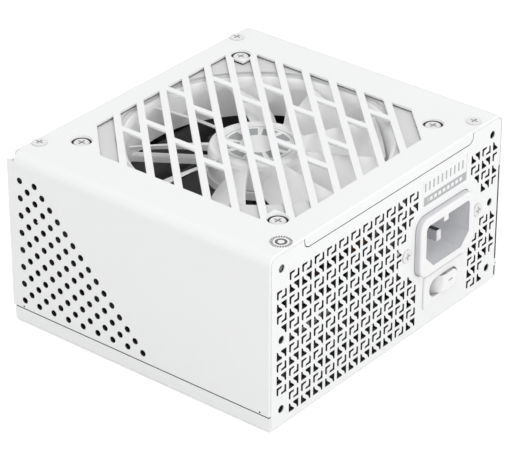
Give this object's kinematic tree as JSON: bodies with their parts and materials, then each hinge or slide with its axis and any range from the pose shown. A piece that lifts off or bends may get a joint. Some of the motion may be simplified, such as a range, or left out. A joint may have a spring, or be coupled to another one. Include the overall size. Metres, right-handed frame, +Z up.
{
  "type": "power supply unit",
  "caption": "Compact modular computer power supply in a folded white steel case, with a fan behind a slotted grille, a mains inlet, a rocker switch and output sockets.",
  "frame": {"origin": "centre of the underside of the tray", "axes": "+Z up through the fan grille, -Y out of the mains panel, +Y out of the output sockets, X across the width"},
  "size_m": [0.1251, 0.1123, 0.0638],
  "materials": {
    "aluminium": "extruded",
    "black_plastic": "moulded, fine grain",
    "board": "solder mask over glass fibre",
    "bronze": "sintered bronze",
    "cap_sleeve": "shrink sleeve",
    "contact_metal": "tinned brass",
    "copper": "enamelled copper wire",
    "disc_cap": "dipped epoxy",
    "earth_jacket": "green and yellow wire insulation",
    "epoxy": "moulded epoxy",
    "fan_plastic": "moulded, fine grain",
    "ferrite": "sintered ferrite",
    "film_cap": "potted box",
    "fuse_body": "glazed tube",
    "insulation": "thin polyester sheet",
    "label_film": "printed film",
    "lamination": "stamped stack",
    "magnet": "bonded ferrite",
    "screw_paint": "white enamelled steel",
    "seal_film": "matt printed paper",
    "steel": "ground steel",
    "sticker_film": "printed film",
    "switch_plastic": "moulded, slight gloss",
    "tape": "polyester tape",
    "white_paint": "fine satin powder coat",
    "white_plastic": "moulded, fine grain",
    "wire_jacket": "soft wire insulation"
  },
  "bodies": {
    "case": {"base_chassis": "white_paint", "board_link_bars": "copper", "board_screws": "steel", "bridge_rectifier": "epoxy", "bulk_capacitor": "cap_sleeve", "bypass_relay": "black_plastic", "choke_cores": "ferrite", "choke_windings": "copper", "connector_board": "board", "control_board": "board", "control_chips": "epoxy", "cover_screws": "screw_paint", "earth_screw": "steel", "earth_wire": "earth_jacket", "fan_bearing": "bronze", "fan_cable": "wire_jacket", "fan_circuit_board": "board", "fan_frame": "fan_plastic", "fan_screws": "screw_paint", "inlet_housing": "white_plastic", "inlet_label": "label_film", "inlet_pins": "contact_metal", "inlet_screws": "screw_paint", "inrush_thermistor": "epoxy", "insulation_sheet": "insulation", "line_fuse": "fuse_body", "main_board": "board", "mains_wires": "wire_jacket", "output_capacitors": "cap_sleeve", "output_choke_core": "ferrite", "output_choke_winding": "copper", "output_sockets": "black_plastic", "pfc_choke_core": "ferrite", "pfc_choke_winding": "copper", "power_transistors": "epoxy", "primary_heatsink": "aluminium", "rating_label": "label_film", "seal_disc": "seal_film", "secondary_heatsink": "aluminium", "socket_contacts": "contact_metal", "standby_transformer_core": "ferrite", "standby_transformer_winding": "tape", "standoffs": "steel", "stator_coils": "copper", "stator_core": "lamination", "switch_housing": "white_plastic", "switch_terminals": "contact_metal", "top_cover": "white_paint", "transformer_core": "ferrite", "transformer_winding": "tape", "transistor_screws": "steel", "x_capacitors": "film_cap", "y_capacitors": "disc_cap"},
    "fan_rotor": {"fan_rotor": "fan_plastic", "hub_sticker": "sticker_film", "rotor_magnet": "magnet", "fan_shaft": "steel", "retaining_clip": "steel"},
    "rocker": {"switch_rocker": "switch_plastic"}
  },
  "joints": [
    {"name": "fan_spin", "type": "hinge", "parent": "case", "child": "fan_rotor", "pos_m": [0, 0, 0.0535], "axis": [0, 0, 1], "continuous": true},
    {"name": "rocker_tilt", "type": "hinge", "parent": "case", "child": "rocker", "pos_m": [0.0301, -0.0535, 0.0129], "axis": [0, 0, 1], "range_deg": [0, 32]}
  ]
}
